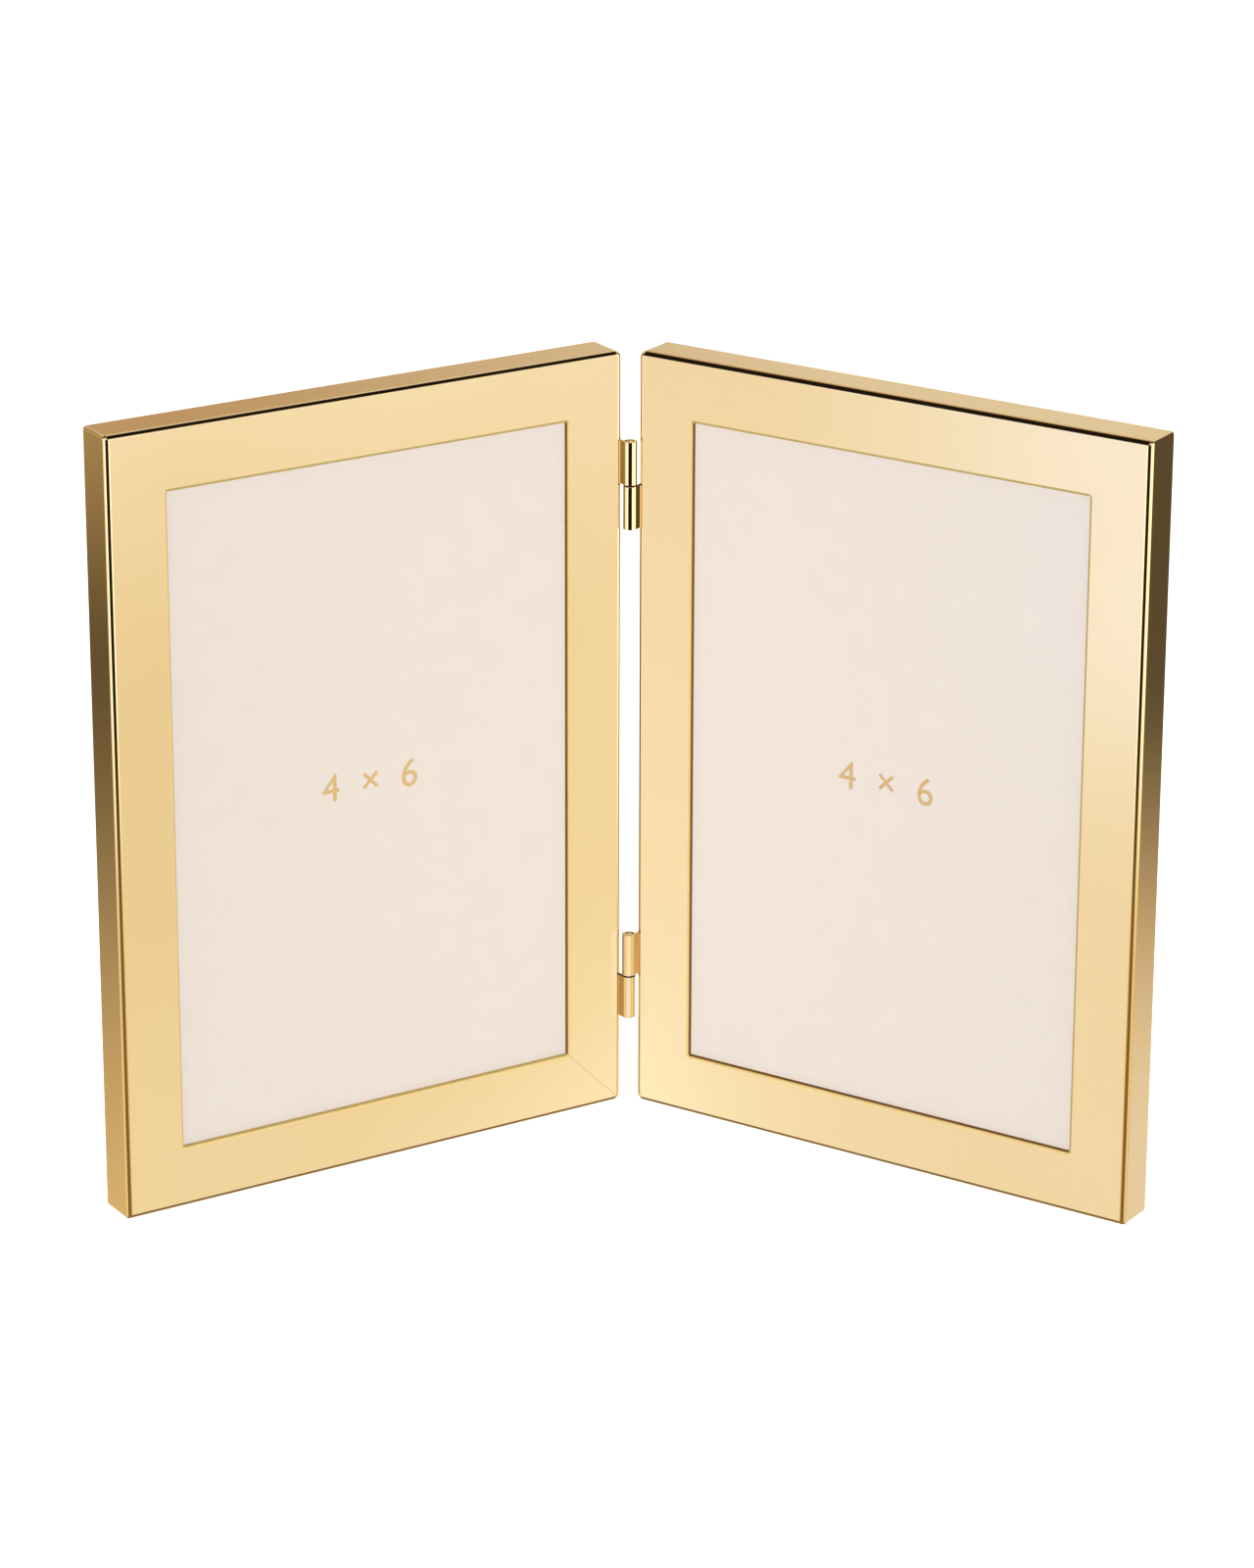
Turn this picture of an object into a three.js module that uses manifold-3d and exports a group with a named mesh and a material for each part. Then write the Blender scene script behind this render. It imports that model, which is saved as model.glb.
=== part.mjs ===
// Double photo frame: two mitred, gold-plated brass frames for 4 x 6 in prints, joined by two rolled
// butt hinges, so that they stand half open like a book and fold shut face to face.
//
// Millimetres, +Z up. The object stands on z = 0 and faces -Y, and its origin is the middle of the
// box around its footprint. One frame is called a leaf and is drawn in its own axes: x to the right,
// y from the face to the back, z up, from the middle of its face.

import * as THREE from 'three';
import { mergeVertices } from 'three/addons/utils/BufferGeometryUtils.js';
import Module from 'manifold-3d';

const wasm = await Module();
wasm.setup();

// Print
const PRINT_WIDTH = 101.6;
const PRINT_HEIGHT = 152.4;
const PRINT_OVERLAP = 1.6; // hidden by the rail along each edge

// Brass rail: a strip folded to a face and an outer wall
const RAIL_FACE = 14.3;
const RAIL_DEPTH = 10;
const RAIL_WALL = 1;
const FRONT_EDGE_RADIUS = 1.2;
const OPENING_EDGE_RADIUS = 0.3;
const BACK_EDGE_RADIUS = 0.4;
const OUTER_CORNER_RADIUS = 0.8; // polished corners of the mitred frame
const HINGE_CORNER_RADIUS = 1.6;
const MITRE_GAP = 0.04; // solder line, along the rail

// Layers behind the opening, front to back
const GLASS_THICKNESS = 2;
const CARD_THICKNESS = 0.4;
const FILLER_THICKNESS = 1.4;
const BOARD_THICKNESS = 2.4;
const SUEDE_THICKNESS = 0.5;
const LAYER_GAP = 0.1;
const POCKET_CLEARANCE = 0.4; // round the layers

// Wooden carcass that lines the rails, with a nail nick for lifting the board out
const CARCASS_CLEARANCE = 0.2;
const NICK_RADIUS = 7;
const NICK_DEPTH = 0.6; // past the front of the board

// Turn buttons that hold the board in, and the screws they turn on
const BUTTON_THICKNESS = 0.7;
const BUTTON_HEEL_RADIUS = 3;
const BUTTON_TIP_RADIUS = 2.2;
const BUTTON_REACH = 5; // tip inside the edge of the pocket
const BUTTON_SPACING = 90;
const BUTTON_LIFT = 0.1;
const SCREW_HEAD_RADIUS = 2;
const SCREW_HEAD_HEIGHT = 0.8;
const SCREW_HEAD_RIM = 0.25;
const SCREW_SHANK_RADIUS = 1.1;
const SCREW_GRIP = 4.5; // shank in the carcass
const SCREW_POINT = 0.8;
const SCREW_CLEARANCE = 0.15;

// Rolled butt hinges, soldered to the outer walls of the two hinge stiles
const OPENING_ANGLE = 114.4; // degrees between the two faces
const HINGE_INSET = 20.6; // from the ends of the stile
const KNUCKLE_LENGTH = 9.95;
const KNUCKLE_GAP = 0.3;
const BARREL_RADIUS = 1.55;
const HINGE_STRIP = 0.7;
const ROLL_GAP = 0.15; // where the rolled strip comes back to its plate
const PLATE_DEPTH = 7; // plate behind the face of the leaf
const AXIS_PROUD = 0.7; // axis in front of the face of the leaf
const SOLDER_GAP = 0.06;
const PIN_CLEARANCE = 0.06;
const PIN_CHAMFER = 0.2;

// Facets of an outline's arc and of a full turn, and how far a cutter stands out of what it cuts
const ARC_FACETS = 12;
const TURN_FACETS = 24;
const CUTTER_MARGIN = 1;

// Sizes that follow
const LEAF_WIDTH = PRINT_WIDTH - 2 * PRINT_OVERLAP + 2 * RAIL_FACE;
const LEAF_HEIGHT = PRINT_HEIGHT - 2 * PRINT_OVERLAP + 2 * RAIL_FACE;
const LINING = RAIL_WALL + CARCASS_CLEARANCE;
const CARCASS_WIDTH = LEAF_WIDTH - 2 * LINING;
const CARCASS_HEIGHT = LEAF_HEIGHT - 2 * LINING;
const POCKET_WIDTH = PRINT_WIDTH + 2 * POCKET_CLEARANCE;
const POCKET_HEIGHT = PRINT_HEIGHT + 2 * POCKET_CLEARANCE;
const BUTTON_PIVOT = (POCKET_WIDTH + CARCASS_WIDTH) / 4; // from the leaf's middle, halfway over the carcass

// Depth of each layer's back face behind the face of the leaf
const GLASS_BACK = RAIL_WALL + LAYER_GAP + GLASS_THICKNESS;
const CARD_BACK = GLASS_BACK + LAYER_GAP + CARD_THICKNESS;
const FILLER_BACK = CARD_BACK + LAYER_GAP + FILLER_THICKNESS;
const BOARD_BACK = FILLER_BACK + LAYER_GAP + BOARD_THICKNESS;
const SUEDE_BACK = BOARD_BACK + LAYER_GAP + SUEDE_THICKNESS;
const BUTTON_BACK = SUEDE_BACK + BUTTON_LIFT + BUTTON_THICKNESS;

const HINGE_LENGTH = 2 * KNUCKLE_LENGTH + KNUCKLE_GAP;
const WALL_OFFSET = BARREL_RADIUS + SOLDER_GAP; // hinge axis to the outer wall of the leaf
const BORE_RADIUS = BARREL_RADIUS - HINGE_STRIP;
const LEAF_TURN = THREE.MathUtils.degToRad((180 - OPENING_ANGLE) / 2);

// Finishes
const goldPlate = () => new THREE.MeshStandardMaterial({ color: '#e0bd72', roughness: 0.08, metalness: 1 });
const brass = () => new THREE.MeshStandardMaterial({ color: '#c9a24e', roughness: 0.25, metalness: 1 });
const clearGlass = () => new THREE.MeshStandardMaterial({ color: '#f2f6f4', roughness: 0.03, metalness: 0 });
const creamCard = () => new THREE.MeshStandardMaterial({ color: '#f1e7dc', roughness: 0.85, metalness: 0 });
const greyBoard = () => new THREE.MeshStandardMaterial({ color: '#9a9287', roughness: 0.9, metalness: 0 });
const fibreboard = () => new THREE.MeshStandardMaterial({ color: '#a98760', roughness: 0.8, metalness: 0 });
const suede = () => new THREE.MeshStandardMaterial({ color: '#b9a48a', roughness: 1, metalness: 0 });

function piece(name, geometry, material) {
  const mesh = new THREE.Mesh(geometry, material);
  mesh.name = name;
  return mesh;
}

function extrude(outline, depth, facets = ARC_FACETS) {
  return new THREE.ExtrudeGeometry(outline, { depth, bevelEnabled: false, curveSegments: facets / 2 });
}

function rectangle(width, height) {
  const corners = [[-1, -1], [1, -1], [1, 1], [-1, 1]];
  return new THREE.Shape(corners.map(([x, y]) => new THREE.Vector2((x * width) / 2, (y * height) / 2)));
}

// A closed mesh as a solid, and back
function toSolid(geometry) {
  const bare = geometry.clone();
  bare.deleteAttribute('normal');
  bare.deleteAttribute('uv');
  const welded = mergeVertices(bare);
  return new wasm.Manifold(new wasm.Mesh({
    numProp: 3,
    vertProperties: Float32Array.from(welded.getAttribute('position').array),
    triVerts: Uint32Array.from(welded.getIndex().array),
  }));
}

function toGeometry(solid) {
  const mesh = solid.getMesh();
  const geometry = new THREE.BufferGeometry();
  geometry.setAttribute('position', new THREE.BufferAttribute(mesh.vertProperties, 3));
  geometry.setIndex(new THREE.BufferAttribute(mesh.triVerts, 1));
  geometry.computeVertexNormals();
  return geometry;
}

function cut(geometry, cutters) {
  return toGeometry(cutters.reduce((solid, cutter) => solid.subtract(toSolid(cutter)), toSolid(geometry)));
}

function common(geometry, other) {
  return toGeometry(toSolid(geometry).intersect(toSolid(other)));
}

// A round cutter along z, from just below z = 0 up to the given height
function drill(x, y, radius, height) {
  const length = height + CUTTER_MARGIN;
  const cutter = new THREE.CylinderGeometry(radius, radius, length, TURN_FACETS);
  cutter.rotateX(Math.PI / 2);
  cutter.translate(x, y, length / 2 - CUTTER_MARGIN);
  return cutter;
}

// Rail section: x from the outer wall to the opening, y from the face to the back
function railSection() {
  const openingCentre = RAIL_FACE - OPENING_EDGE_RADIUS;
  const backCentre = RAIL_DEPTH - BACK_EDGE_RADIUS;
  const section = new THREE.Shape();
  section.moveTo(0, backCentre);
  section.lineTo(0, FRONT_EDGE_RADIUS);
  section.absarc(FRONT_EDGE_RADIUS, FRONT_EDGE_RADIUS, FRONT_EDGE_RADIUS, Math.PI, 1.5 * Math.PI);
  section.absarc(openingCentre, OPENING_EDGE_RADIUS, OPENING_EDGE_RADIUS, 1.5 * Math.PI, 2 * Math.PI);
  section.lineTo(RAIL_FACE, RAIL_WALL);
  section.lineTo(RAIL_WALL, RAIL_WALL);
  section.absarc(RAIL_WALL - BACK_EDGE_RADIUS, backCentre, BACK_EDGE_RADIUS, 0, 0.5 * Math.PI);
  section.absarc(BACK_EDGE_RADIUS, backCentre, BACK_EDGE_RADIUS, 0.5 * Math.PI, Math.PI);
  return section;
}

// The outline of a rail seen from its face, with the two rounded corners of the leaf, as a block
function cornerBlock(span, [lowRadius, highRadius]) {
  const inner = RAIL_FACE + CUTTER_MARGIN;
  const end = span / 2;
  const outline = new THREE.Shape();
  outline.moveTo(inner, -end);
  outline.lineTo(inner, end);
  outline.absarc(highRadius, end - highRadius, highRadius, 0.5 * Math.PI, Math.PI);
  outline.absarc(lowRadius, lowRadius - end, lowRadius, Math.PI, 1.5 * Math.PI);
  const block = extrude(outline, RAIL_DEPTH + 2 * CUTTER_MARGIN);
  block.rotateX(Math.PI / 2);
  block.translate(0, RAIL_DEPTH + CUTTER_MARGIN, 0);
  return block;
}

// A rail with both ends mitred: each point of the section is cut back by its distance from the
// outer wall. The length lies along z, about its middle, and the corner radii are those of the -z
// and the +z end.
function railGeometry(span, corners) {
  const geometry = extrude(railSection(), span);
  geometry.translate(0, 0, -span / 2);
  const points = geometry.getAttribute('position');
  for (let i = 0; i < points.count; i++) {
    const halfLength = span / 2 - points.getX(i) - MITRE_GAP;
    points.setZ(i, Math.sign(points.getZ(i)) * halfLength);
  }
  return common(geometry, cornerBlock(span, corners));
}

// A rail laid along one side of the leaf. Turn 0 is the side at -x, a quarter turn the top.
function rail(name, span, reach, turn, corners) {
  const mesh = piece(name, railGeometry(span, corners), goldPlate());
  mesh.rotation.y = turn;
  mesh.position.set(-reach * Math.cos(turn), 0, reach * Math.sin(turn));
  return mesh;
}

// A flat layer of the leaf, drawn as seen from the front, with its back face at the given depth
function layer(name, geometry, back, material) {
  const mesh = piece(name, geometry, material);
  mesh.rotation.x = Math.PI / 2;
  mesh.position.y = back;
  return mesh;
}

function buttonPivots() {
  const place = (column, row) => ({ column, row, x: column * BUTTON_PIVOT, z: (row * BUTTON_SPACING) / 2 });
  return [-1, 1].flatMap((column) => [-1, 1].map((row) => place(column, row)));
}

// A surround with the pocket through it, cut from its back for the screws and the nail nick
function surround(thickness, nickDepth, screwDepth) {
  const outline = rectangle(CARCASS_WIDTH, CARCASS_HEIGHT);
  outline.holes.push(rectangle(POCKET_WIDTH, POCKET_HEIGHT));
  const holeRadius = SCREW_SHANK_RADIUS + SCREW_CLEARANCE;
  const screwHoles = buttonPivots().map(({ x, z }) => drill(x, z, holeRadius, screwDepth));
  const nick = drill(0, -POCKET_HEIGHT / 2, NICK_RADIUS, nickDepth);
  return cut(extrude(outline, thickness), [...screwHoles, nick]);
}

// A turn button from its pivot along +x: a round heel and a smaller round tip, joined by their tangents
function buttonGeometry() {
  const tipCentre = BUTTON_PIVOT - POCKET_WIDTH / 2 + BUTTON_REACH - BUTTON_TIP_RADIUS;
  const tangent = Math.acos((BUTTON_HEEL_RADIUS - BUTTON_TIP_RADIUS) / tipCentre);
  const outline = new THREE.Shape();
  outline.absarc(0, 0, BUTTON_HEEL_RADIUS, tangent, 2 * Math.PI - tangent);
  outline.absarc(tipCentre, 0, BUTTON_TIP_RADIUS, -tangent, tangent);
  const hole = new THREE.Path();
  hole.absarc(0, 0, SCREW_SHANK_RADIUS + SCREW_CLEARANCE, 0, 2 * Math.PI, true);
  outline.holes.push(hole);
  return extrude(outline, BUTTON_THICKNESS, TURN_FACETS);
}

// A round-headed screw along y, from the underside of its head at y = 0
function screwGeometry() {
  const underHead = SUEDE_THICKNESS + LAYER_GAP + BUTTON_LIFT + BUTTON_THICKNESS + SCREW_CLEARANCE;
  const end = -underHead - SCREW_GRIP;
  const crown = SCREW_HEAD_HEIGHT - SCREW_HEAD_RIM;
  const profile = [
    new THREE.Vector2(0, end),
    new THREE.Vector2(SCREW_SHANK_RADIUS, end + SCREW_POINT),
    new THREE.Vector2(SCREW_SHANK_RADIUS, 0),
    new THREE.Vector2(SCREW_HEAD_RADIUS, 0),
    new THREE.Vector2(SCREW_HEAD_RADIUS, SCREW_HEAD_RIM),
  ];
  for (let step = 1; step <= ARC_FACETS / 2; step++) {
    const angle = (step / ARC_FACETS) * Math.PI;
    const radius = step < ARC_FACETS / 2 ? SCREW_HEAD_RADIUS * Math.cos(angle) : 0;
    profile.push(new THREE.Vector2(radius, SCREW_HEAD_RIM + crown * Math.sin(angle)));
  }
  return new THREE.LatheGeometry(profile, TURN_FACETS);
}

// One leaf of the frame. Side is -1 for the left leaf and 1 for the right one.
function leaf(side) {
  const label = side < 0 ? 'left' : 'right';
  const hingeTurn = side < 0 ? Math.PI : 0;
  const outer = OUTER_CORNER_RADIUS;
  const hinge = HINGE_CORNER_RADIUS;
  const topCorners = side < 0 ? [outer, hinge] : [hinge, outer];
  const bottomCorners = side < 0 ? [hinge, outer] : [outer, hinge];
  const print = () => rectangle(PRINT_WIDTH, PRINT_HEIGHT);
  const carcass = surround(
    BOARD_BACK - RAIL_WALL - LAYER_GAP, BOARD_THICKNESS + NICK_DEPTH, SCREW_GRIP + SCREW_CLEARANCE);
  const carcassSuede = surround(
    SUEDE_THICKNESS, SUEDE_THICKNESS + CUTTER_MARGIN, SUEDE_THICKNESS + CUTTER_MARGIN);
  const group = new THREE.Group();
  group.add(
    rail(`${label}_top_rail`, LEAF_WIDTH, LEAF_HEIGHT / 2, Math.PI / 2, topCorners),
    rail(`${label}_bottom_rail`, LEAF_WIDTH, LEAF_HEIGHT / 2, -Math.PI / 2, bottomCorners),
    rail(`${label}_hinge_stile`, LEAF_HEIGHT, LEAF_WIDTH / 2, hingeTurn, [hinge, hinge]),
    rail(`${label}_outer_stile`, LEAF_HEIGHT, LEAF_WIDTH / 2, Math.PI - hingeTurn, [outer, outer]),
    layer(`${label}_glass`, extrude(print(), GLASS_THICKNESS), GLASS_BACK, clearGlass()),
    layer(`${label}_photo_card`, extrude(print(), CARD_THICKNESS), CARD_BACK, creamCard()),
    layer(`${label}_filler_card`, extrude(print(), FILLER_THICKNESS), FILLER_BACK, greyBoard()),
    layer(`${label}_back_board`, extrude(print(), BOARD_THICKNESS), BOARD_BACK, fibreboard()),
    layer(`${label}_board_suede`, extrude(print(), SUEDE_THICKNESS), SUEDE_BACK, suede()),
    layer(`${label}_carcass`, carcass, BOARD_BACK, fibreboard()),
    layer(`${label}_carcass_suede`, carcassSuede, SUEDE_BACK, suede()),
  );
  for (const { column, row, x, z } of buttonPivots()) {
    const place = `${label}_${column === -side ? 'hinge' : 'outer'}_${row > 0 ? 'upper' : 'lower'}`;
    const pivot = new THREE.Group();
    pivot.position.set(x, 0, z);
    pivot.rotation.y = column > 0 ? Math.PI : 0;
    const screw = piece(`${place}_screw`, screwGeometry(), brass());
    screw.position.y = BUTTON_BACK + SCREW_CLEARANCE;
    pivot.add(layer(`${place}_turn_button`, buttonGeometry(), BUTTON_BACK, brass()), screw);
    group.add(pivot);
  }
  return group;
}

// Half of a hinge, about its axis and its middle: a strip that lies along the wall of the leaf at +x
// and rolls forward round the pin, above or below the other half
function hingeHalf(knuckleOnTop) {
  const rollEnd = Math.acos((BORE_RADIUS - ROLL_GAP) / BARREL_RADIUS);
  const plateBack = AXIS_PROUD + PLATE_DEPTH;
  const section = new THREE.Shape();
  section.moveTo(BARREL_RADIUS, plateBack);
  section.absarc(0, 0, BARREL_RADIUS, 2 * Math.PI, rollEnd, true);
  section.absarc(0, 0, BORE_RADIUS, rollEnd, 2 * Math.PI, false);
  section.lineTo(BORE_RADIUS, plateBack);
  const strip = extrude(section, KNUCKLE_LENGTH, TURN_FACETS);
  strip.translate(0, 0, knuckleOnTop ? KNUCKLE_GAP / 2 : -HINGE_LENGTH / 2);
  return strip;
}

function pinGeometry() {
  const radius = BORE_RADIUS - PIN_CLEARANCE;
  const half = HINGE_LENGTH / 2;
  const profile = [
    new THREE.Vector2(0, -half),
    new THREE.Vector2(radius - PIN_CHAMFER, -half),
    new THREE.Vector2(radius, PIN_CHAMFER - half),
    new THREE.Vector2(radius, half - PIN_CHAMFER),
    new THREE.Vector2(radius - PIN_CHAMFER, half),
    new THREE.Vector2(0, half),
  ];
  const pin = new THREE.LatheGeometry(profile, TURN_FACETS);
  pin.rotateX(Math.PI / 2);
  return pin;
}

// The two leaves about the hinge axis at x = y = 0
const hingeHeight = HINGE_INSET + HINGE_LENGTH / 2;
const hinges = [
  { label: 'upper', height: LEAF_HEIGHT - hingeHeight, rightKnuckleOnTop: false },
  { label: 'lower', height: hingeHeight, rightKnuckleOnTop: true },
];
const openBook = new THREE.Group();
for (const side of [-1, 1]) {
  const swing = new THREE.Group();
  swing.rotation.z = -side * LEAF_TURN;
  const framed = leaf(side);
  framed.position.set(side * (WALL_OFFSET + LEAF_WIDTH / 2), AXIS_PROUD, LEAF_HEIGHT / 2);
  swing.add(framed);
  for (const { label, height, rightKnuckleOnTop } of hinges) {
    // Both halves of a hinge are the same piece, the left one turned end for end.
    const name = `${label}_hinge_${side < 0 ? 'left' : 'right'}_half`;
    const half = piece(name, hingeHalf(rightKnuckleOnTop), goldPlate());
    half.rotation.y = side < 0 ? Math.PI : 0;
    half.position.z = height;
    swing.add(half);
  }
  openBook.add(swing);
}
for (const { label, height } of hinges) {
  const pin = piece(`${label}_hinge_pin`, pinGeometry(), brass());
  pin.position.z = height;
  openBook.add(pin);
}

// The footprint's middle goes to the origin
const footprint = new THREE.Box3().setFromObject(openBook, true);
openBook.position.y = -(footprint.min.y + footprint.max.y) / 2;

const doublePhotoFrame = new THREE.Group();
doublePhotoFrame.add(openBook);

export default doublePhotoFrame;
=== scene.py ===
# %% [markdown]
# # A hinged double photo frame
# Two picture frames of gold-plated brass stand half open, like a book. Each leaf is four mitred rails
# round a pane of glass and a cream card. A suede-covered board closes the back, under four turn
# buttons, and two rolled hinges join the leaves.
#
# The solids come from the CAD model and load as a fixed frame, in metres. This lesson keeps those whose
# shape is already right and gives them a finish. The others are made again with softer edges.

# %% Load the frame
import math

import bmesh
import bpy
from mathutils import Matrix, Vector


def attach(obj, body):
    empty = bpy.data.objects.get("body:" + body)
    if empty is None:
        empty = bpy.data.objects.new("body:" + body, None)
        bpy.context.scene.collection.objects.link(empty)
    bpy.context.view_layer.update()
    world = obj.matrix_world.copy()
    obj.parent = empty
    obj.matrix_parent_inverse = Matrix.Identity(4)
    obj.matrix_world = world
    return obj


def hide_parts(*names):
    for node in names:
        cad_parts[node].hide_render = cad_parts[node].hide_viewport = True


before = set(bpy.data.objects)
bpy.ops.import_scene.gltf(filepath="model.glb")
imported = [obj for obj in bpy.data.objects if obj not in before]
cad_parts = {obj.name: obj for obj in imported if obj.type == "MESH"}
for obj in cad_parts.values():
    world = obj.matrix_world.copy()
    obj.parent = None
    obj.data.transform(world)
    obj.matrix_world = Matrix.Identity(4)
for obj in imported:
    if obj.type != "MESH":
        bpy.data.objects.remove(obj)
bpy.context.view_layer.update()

# %% [markdown]
# ## Camera
# The photograph was taken from a little above the frame with a long lens, so upright edges stay almost
# parallel. A camera fitted to the outline of the two leaves gives the place and the three angles below.
# An angle of 0 in all three looks level along +Y.

# %% Camera
CAMERA_PLACE = Vector((0.00863, -1.1401, 0.50167))
CAMERA_YAW = math.radians(-0.4471)
CAMERA_PITCH = math.radians(19.9462)  # downwards
CAMERA_ROLL = math.radians(0.166)
SENSOR_SIZE = 36.0  # millimetres, along the longer side of the picture
LENS = 127.12

camera = bpy.data.objects.new("camera", bpy.data.cameras.new("camera"))
camera.data.sensor_width = SENSOR_SIZE
camera.data.lens = LENS
camera.matrix_world = (
    Matrix.Translation(CAMERA_PLACE)
    @ Matrix.Rotation(-CAMERA_YAW, 4, "Z")
    @ Matrix.Rotation(math.pi / 2 - CAMERA_PITCH, 4, "X")
    @ Matrix.Rotation(CAMERA_ROLL, 4, "Z")
)
bpy.context.scene.collection.objects.link(camera)
bpy.context.scene.camera = camera
bpy.context.scene.view_settings.view_transform = "Standard"
print("camera at", [round(value, 3) for value in camera.location])

# %% [markdown]
# ## Tools for nodes
# A finish in Blender is a tree of nodes. One function adds a node, sets its properties, and fills its
# inputs with numbers or with the outputs of other nodes. Another turns the sRGB colours that a screen
# shows into the linear ones that the shaders work in. The rest are short names for what comes back often:
# a sum, a vector, a noise with lumps of a given size, a tone between two colours, a number between two
# others, and a relief. The last one starts a finish with its shader and the Object coordinates, which are
# metres in this frame, so a pattern of so many millimetres stays that size.

# %% Tools for nodes
MM = 0.001


def linear(hex_colour):
    """The linear red, green, blue and alpha of an sRGB colour such as #F9DDA6."""
    channels = [int(hex_colour[start:start + 2], 16) / 255 for start in (1, 3, 5)]
    return [c / 12.92 if c <= 0.04045 else ((c + 0.055) / 1.055) ** 2.4 for c in channels] + [1.0]


def fill(node, inputs):
    """Fills inputs of a node with values or with the outputs of other nodes."""
    for socket, value in inputs.items():
        if isinstance(value, bpy.types.NodeSocket):
            node.id_data.links.new(value, node.inputs[socket])
        else:
            node.inputs[socket].default_value = value


def add_node(tree, kind, inputs=None, **settings):
    """Adds a node, sets its properties, and fills its inputs."""
    node = tree.nodes.new(kind)
    for name, value in settings.items():
        setattr(node, name, value)
    fill(node, inputs or {})
    return node


def calculate(tree, operation, *values, **settings):
    """The result of an operation on numbers or on outputs."""
    inputs = dict(enumerate(values))
    return add_node(tree, "ShaderNodeMath", inputs, operation=operation, **settings).outputs[0]


def vector(tree, **parts):
    """A vector made of any of its parts X, Y and Z. The others are 0."""
    return add_node(tree, "ShaderNodeCombineXYZ", parts).outputs[0]


def noise(coords, size, detail):
    """A noise with lumps of a size in metres."""
    inputs = {"Vector": coords, "Scale": 1 / size, "Detail": detail}
    return add_node(coords.id_data, "ShaderNodeTexNoise", inputs).outputs["Fac"]


def tone(value, dark, light, dark_at=0.0, light_at=1.0):
    """A colour that goes from dark to light as a value goes from one number to another."""
    ramp = add_node(value.id_data, "ShaderNodeValToRGB", {"Fac": value})
    for element, position, colour in zip(ramp.color_ramp.elements, (dark_at, light_at), (dark, light)):
        element.position = position
        element.color = linear(colour)
    return ramp.outputs["Color"]


def spread(value, start, end):
    """A number that goes from start to end as a value goes from 0 to 1."""
    inputs = {"Value": value, "To Min": start, "To Max": end}
    return add_node(value.id_data, "ShaderNodeMapRange", inputs).outputs["Result"]


def relief(value, height, strength=1.0):
    """The normal of a surface that rises by a height in metres as a value goes from 0 to 1."""
    inputs = {"Height": value, "Distance": height, "Strength": strength}
    return add_node(value.id_data, "ShaderNodeBump", inputs).outputs["Normal"]


def start_finish(name):
    """A new material, its Principled shader and its Object coordinates."""
    finish = bpy.data.materials.new(name)
    finish.use_nodes = True
    coords = add_node(finish.node_tree, "ShaderNodeTexCoord").outputs["Object"]
    return finish, finish.node_tree.nodes["Principled BSDF"], coords


print("gold plate in linear colour:", [round(value, 3) for value in linear("#F9DDA6")])

# %% [markdown]
# ## Gold plate
# The rails and hinges are brass, polished to a mirror and plated with pale gold. A mirror has almost no
# colour of its own, so the eye reads it by what it reflects, and by how truly. Plating follows the
# polisher's wheel, which leaves the flats a hair uneven over a centimetre or so. A very shallow bump
# gives that. The plate is also a little thinner in places, where it shows redder, and wiping leaves the
# gloss uneven. A hinge's plate lies a hair from its stile, so each shows in the other. The stile is left
# out of mirror rays, so a deeper gold on the plate's side by the stile is a painted reflection of gold in
# gold.

# %% Gold plate
POLISH_WAVE = 14 * MM
POLISH_HEIGHT = 0.0035 * MM
PLATE_PATCH = 40 * MM
WIPE_PATCH = 25 * MM

gold = {}
for name, dark, light in (
    ("polished gold plate", "#F8DAA1", "#FADFAA"),
    # a deeper gold: a painted reflection of the stile in the hinge plate
    ("gold with painted reflection", "#F5C97F", "#F8D08A"),
):
    gold[name], shader, coords = start_finish(name)
    fill(shader, {
        "Metallic": 1.0,
        "Base Color": tone(noise(coords, PLATE_PATCH, detail=1.0), dark, light),
        "Roughness": spread(noise(coords, WIPE_PATCH, detail=3.0), start=0.05, end=0.09),
        "Normal": relief(noise(coords, POLISH_WAVE, detail=0.0), POLISH_HEIGHT),
    })
print("finishes:", ", ".join(gold))

# %% [markdown]
# ## Edges of the openings
# The wheel only skims the edge of an opening, so its rounding is buffed satin, and its pale yellow tone is
# partly a painted highlight. The cut behind it, and the cuts at the mitres, are painted dark brown: painted
# shade in the recess by the card and in the hairline at each mitre. It is no metal, so it shows that
# painted colour. On some rails the edge is painted a paler olive instead, a painted reflection.

# %% Edges of the openings
EDGE_PAINT_PATCH = 2 * MM

edges = {}
for name, dark, light, metallic, roughness in (
    ("buffed edge", "#FAD884", "#FFE196", 0.35, 0.5),
    ("waxed cut", "#6C4200", "#865600", 0.0, 0.6),
    ("wiped edge", "#CFB468", "#DEC67C", 0.3, 0.5),
):
    edges[name], shader, coords = start_finish(name)
    # The three tones are a painted highlight, painted shade and a painted reflection, each varying a little
    # at random.
    edge_paint = tone(noise(coords, EDGE_PAINT_PATCH, detail=3.0), dark, light)
    fill(shader, {"Base Color": edge_paint, "Metallic": metallic, "Roughness": roughness})
print("finishes:", ", ".join(edges))

# %% [markdown]
# ## Satin brass
# The turn buttons and their screws are plain brass, stamped or turned and left satin. Tumbling gives the
# small parts a fine, even haze, with the odd darker spot where the metal has aged. The hinge pins, and the
# ends of the knuckles that run on each other, are much darker: painted shade for the dark of the gaps
# between the knuckles.

# %% Satin brass
TUMBLE_GRAIN = 0.25 * MM
TUMBLE_HEIGHT = 0.004 * MM
AGED_SPOT = 3 * MM
JOINT_SHADE_PATCH = 1.5 * MM

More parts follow.
